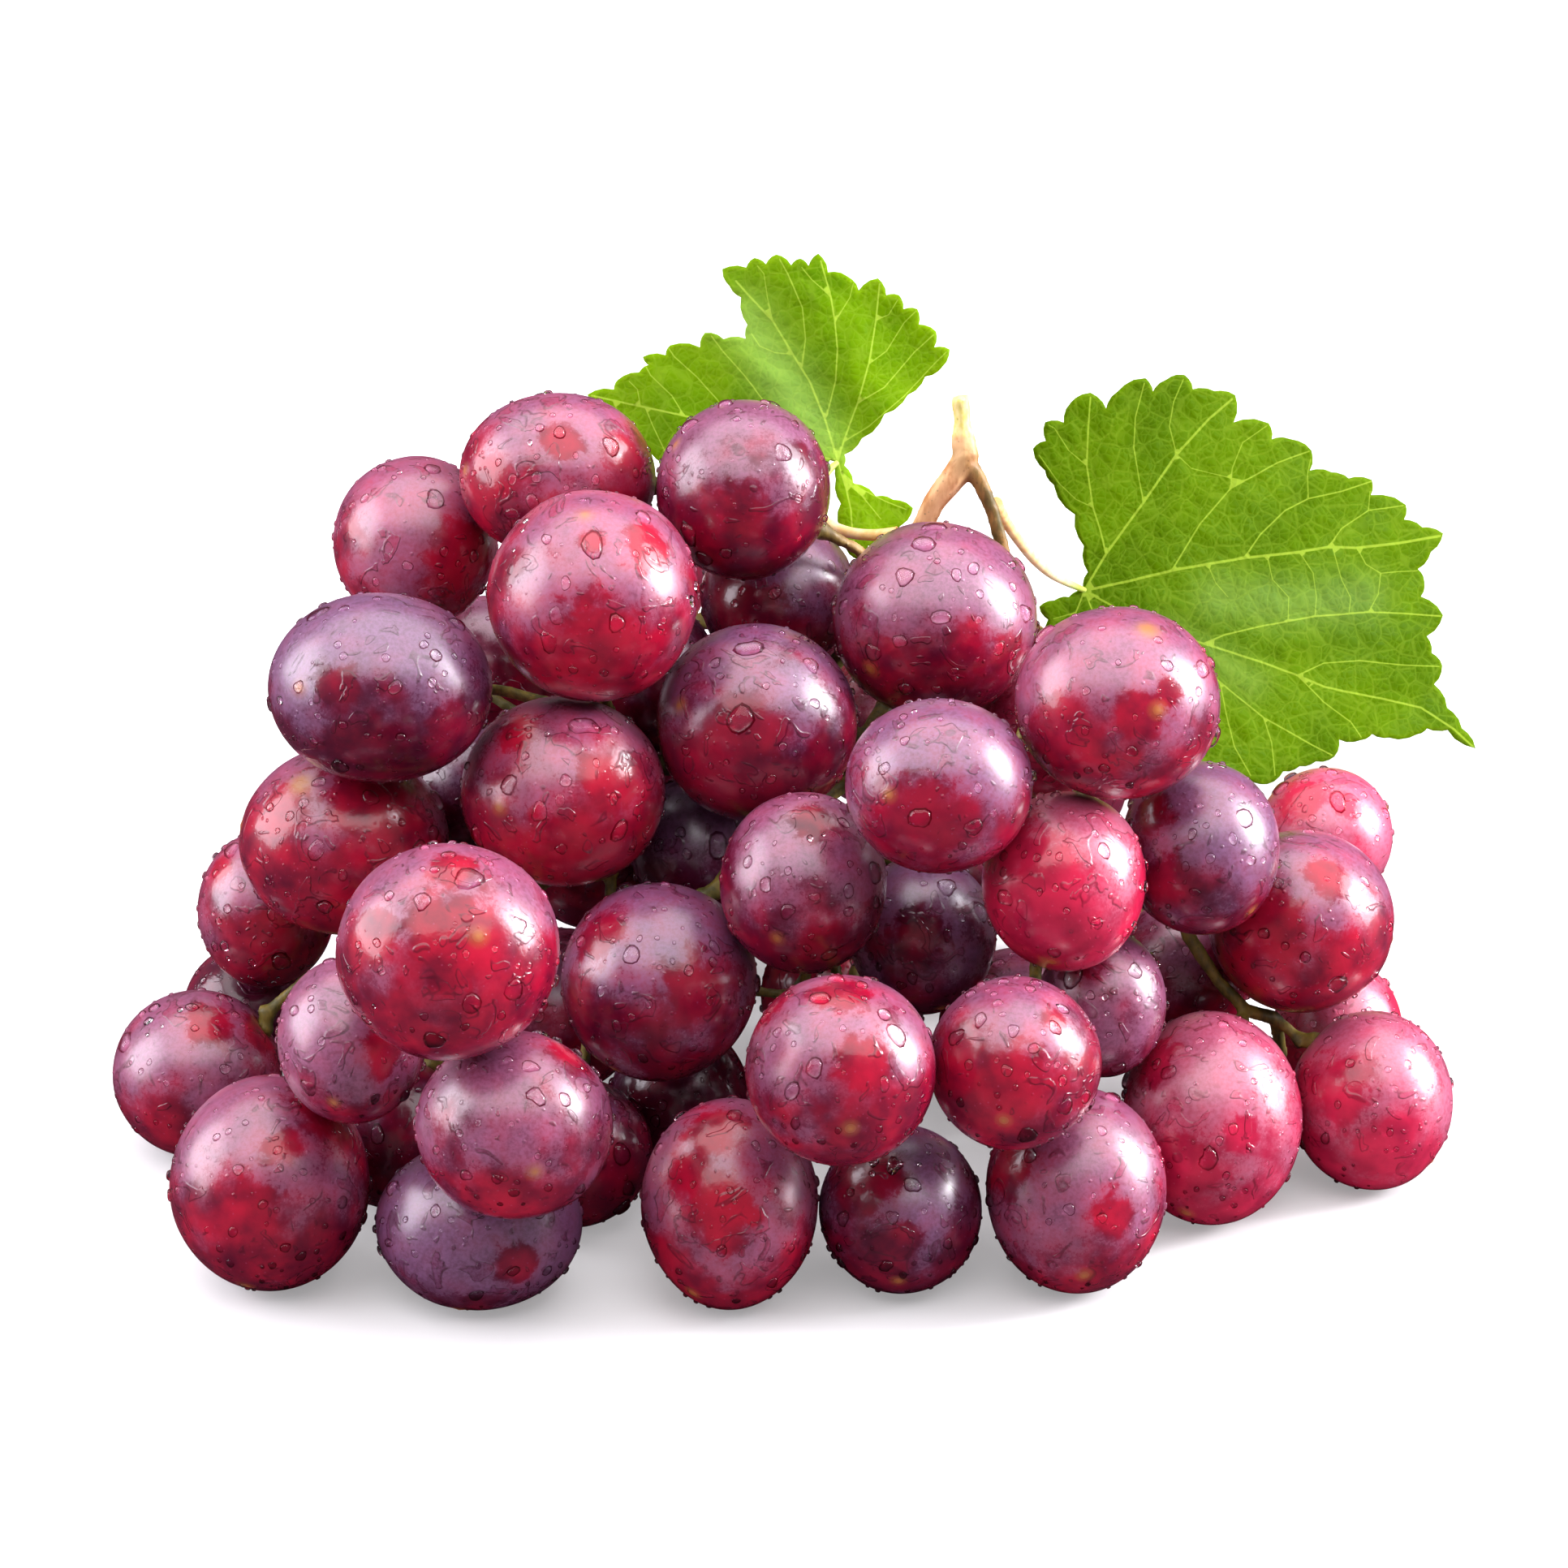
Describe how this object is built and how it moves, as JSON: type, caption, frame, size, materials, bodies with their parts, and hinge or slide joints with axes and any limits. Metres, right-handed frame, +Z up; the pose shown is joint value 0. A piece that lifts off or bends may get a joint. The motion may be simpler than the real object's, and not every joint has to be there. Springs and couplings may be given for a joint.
{
  "type": "bunch of grapes",
  "caption": "Bunch of large red table grapes on its branched stalk, with two toothed vine leaves, lying on a surface.",
  "frame": {"origin": "centre of the footprint of the whole bunch with its leaves, on the surface that it lies on", "axes": "+Z up; +X to the right along the bunch's length, seen from the front; +Y from the front row of berries back to the leaves"},
  "size_m": [0.1936, 0.1686, 0.0979],
  "materials": {
    "skin_crimson": "crimson grape skin with a waxy lilac bloom, wet",
    "skin_plum": "dark plum grape skin with a waxy lilac bloom, wet",
    "skin_rose": "rose red grape skin with a thin waxy bloom, wet",
    "stalk": "young green-brown vine stalk",
    "leaf_light": "fresh yellow-green vine leaf, satin",
    "leaf_dark": "fresh green vine leaf with pale veins, satin",
    "water": "clear water drops on the skins"
  },
  "bodies": {
    "root": {"berry_01": "skin_crimson", "berry_02": "skin_crimson", "berry_03": "skin_crimson", "berry_04": "skin_plum", "berry_05": "skin_crimson", "berry_06": "skin_crimson", "berry_07": "skin_plum", "berry_08": "skin_crimson", "berry_09": "skin_plum", "berry_10": "skin_crimson", "berry_11": "skin_rose", "berry_12": "skin_plum", "berry_13": "skin_crimson", "berry_14": "skin_crimson", "berry_15": "skin_crimson", "berry_16": "skin_crimson", "berry_17": "skin_crimson", "berry_18": "skin_crimson", "berry_19": "skin_crimson", "berry_20": "skin_plum", "berry_21": "skin_crimson", "berry_22": "skin_plum", "berry_23": "skin_crimson", "berry_24": "skin_crimson", "berry_25": "skin_plum", "berry_26": "skin_crimson", "berry_27": "skin_crimson", "berry_28": "skin_rose", "berry_29": "skin_crimson", "berry_30": "skin_rose", "berry_31": "skin_crimson", "berry_32": "skin_rose", "berry_33": "skin_plum", "berry_34": "skin_plum", "berry_35": "skin_plum", "berry_36": "skin_rose", "berry_37": "skin_crimson", "berry_38": "skin_rose", "berry_39": "skin_plum", "berry_40": "skin_plum", "berry_41": "skin_plum", "berry_42": "skin_plum", "berry_43": "skin_plum", "berry_44": "skin_crimson", "berry_45": "skin_crimson", "berry_46": "skin_crimson", "berry_47": "skin_crimson", "berry_48": "skin_crimson", "berry_49": "skin_crimson", "berry_50": "skin_crimson", "berry_51": "skin_crimson", "berry_52": "skin_crimson", "berry_53": "skin_crimson", "berry_54": "skin_crimson", "berry_55": "skin_crimson", "berry_56": "skin_crimson", "berry_57": "skin_plum", "stem": "stalk", "leaf_left": "leaf_light", "leaf_right": "leaf_dark"}
  },
  "joints": []
}
